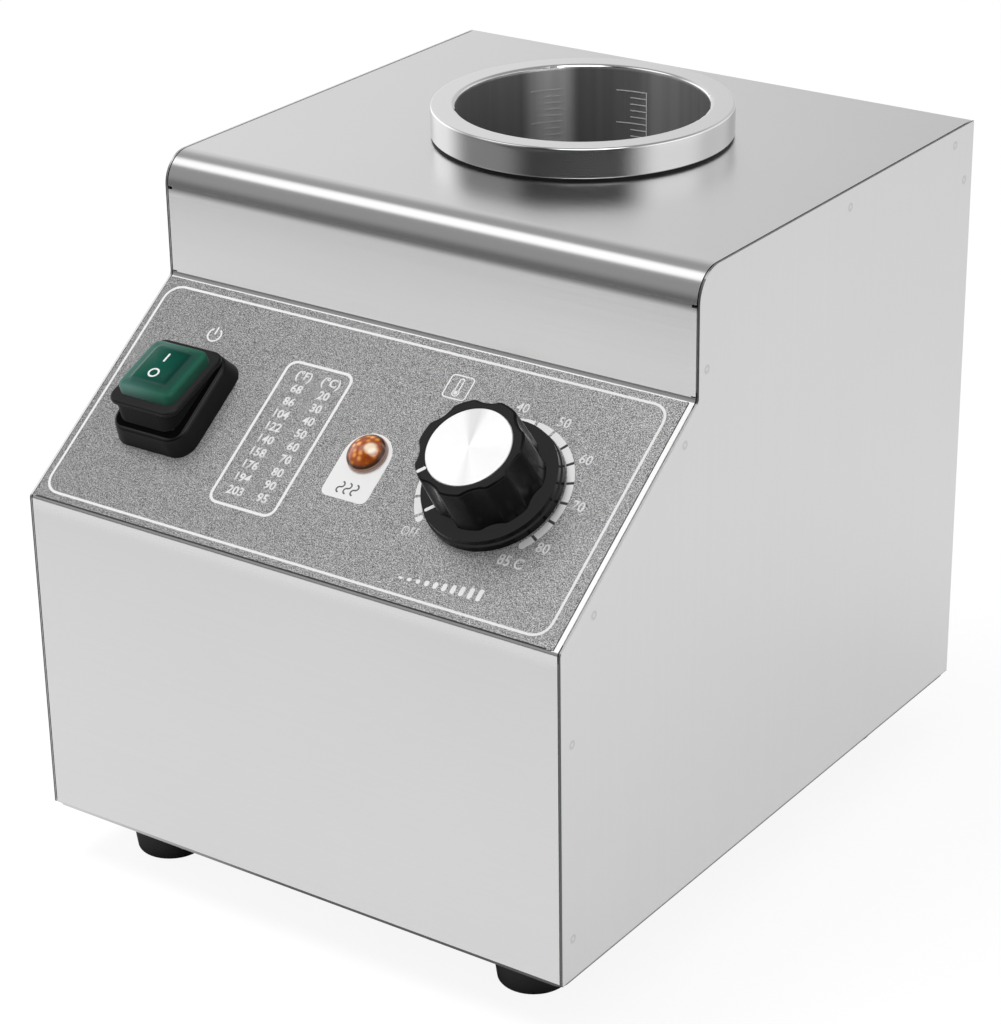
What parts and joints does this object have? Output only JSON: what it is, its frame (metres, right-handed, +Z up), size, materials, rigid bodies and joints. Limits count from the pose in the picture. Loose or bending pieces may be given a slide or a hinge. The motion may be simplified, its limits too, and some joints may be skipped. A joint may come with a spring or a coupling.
{
  "type": "sauce warmer",
  "caption": "Counter-top sauce warmer: folded stainless cabinet with a heated round well for a squeeze bottle, sloping panel with rocker switch, pilot lamp and dial knob, on rubber feet.",
  "frame": {"origin": "middle of the whole part's box in plan, on the counter under the feet", "axes": "+Z up, -Y towards the control panel at the front, +X to the right seen from the front"},
  "size_m": [0.1984, 0.261, 0.2291],
  "materials": {
    "brushed_stainless": "fine brushed stainless steel sheet",
    "polished_stainless": "polished stainless steel, brushed inside the well",
    "zinc_plated": "zinc-plated steel",
    "foot_rubber": "matt black rubber",
    "seal_rubber": "matt black silicone rubber",
    "boot_rubber": "satin black rubber",
    "heater_sheath": "mill finish sheath",
    "insulation_wool": "white mineral wool sleeve",
    "control_moulding": "thermoset moulding",
    "copper_brass": "copper alloy",
    "label_film": "speckled grey printed film with white marks",
    "black_moulding": "satin black moulding",
    "green_lens": "clear green moulding with white marks",
    "amber_lens": "clear amber moulding, faceted",
    "knob_moulding": "glossy black moulding with a white pointer",
    "knob_aluminium": "spun aluminium disc",
    "ceramic": "white glazed steatite",
    "gland_nylon": "black nylon"
  },
  "bodies": {
    "cabinet": {"front_top_shell": "brushed_stainless", "left_side_panel": "brushed_stainless", "right_side_panel": "brushed_stainless", "rear_panel": "brushed_stainless", "base_plate": "brushed_stainless", "base_screws": "zinc_plated", "foot_front_left": "foot_rubber", "foot_front_right": "foot_rubber", "foot_rear_left": "foot_rubber", "foot_rear_right": "foot_rubber", "foot_screws": "zinc_plated", "foot_nuts": "zinc_plated", "well_cup": "polished_stainless", "rim_gasket": "seal_rubber", "well_studs": "zinc_plated", "well_nuts": "zinc_plated", "heater_band": "heater_sheath", "heater_clamp_bolts": "zinc_plated", "insulation_sleeve": "insulation_wool", "thermal_cutout": "control_moulding", "cutout_studs": "zinc_plated", "cutout_nuts": "zinc_plated", "sensor_pocket": "polished_stainless", "sensor_bulb": "copper_brass", "capillary_tube": "copper_brass", "control_label": "label_film", "switch_housing": "black_moulding", "switch_terminals": "copper_brass", "switch_boot": "boot_rubber", "lamp_lens": "amber_lens", "lamp_body": "black_moulding", "lamp_nut": "black_moulding", "thermostat_body": "control_moulding", "thermostat_screws": "zinc_plated", "terminal_block": "ceramic", "terminal_screws": "copper_brass", "terminal_block_bolt": "zinc_plated", "earth_stud": "zinc_plated", "earth_nuts": "copper_brass", "gland_body": "gland_nylon", "gland_lock_nut": "gland_nylon", "gland_dome_nut": "gland_nylon", "gland_seal": "seal_rubber"},
    "rocker": {"rocker_frame": "black_moulding", "rocker_lens": "green_lens"},
    "knob": {"knob_grip": "knob_moulding", "knob_disc": "knob_aluminium", "thermostat_shaft": "zinc_plated"}
  },
  "joints": [
    {"name": "rocker_tilt", "type": "hinge", "parent": "cabinet", "child": "rocker", "pos_m": [-0.0672, -0.09648, 0.15577], "axis": [1, 0, 0], "range_deg": [0, 25], "deforming": ["switch_boot"]},
    {"name": "knob_turn", "type": "hinge", "parent": "cabinet", "child": "knob", "pos_m": [0.05255, -0.0945, 0.1535], "axis": [0, 0.578, -0.816], "range_deg": [0, 270]}
  ]
}
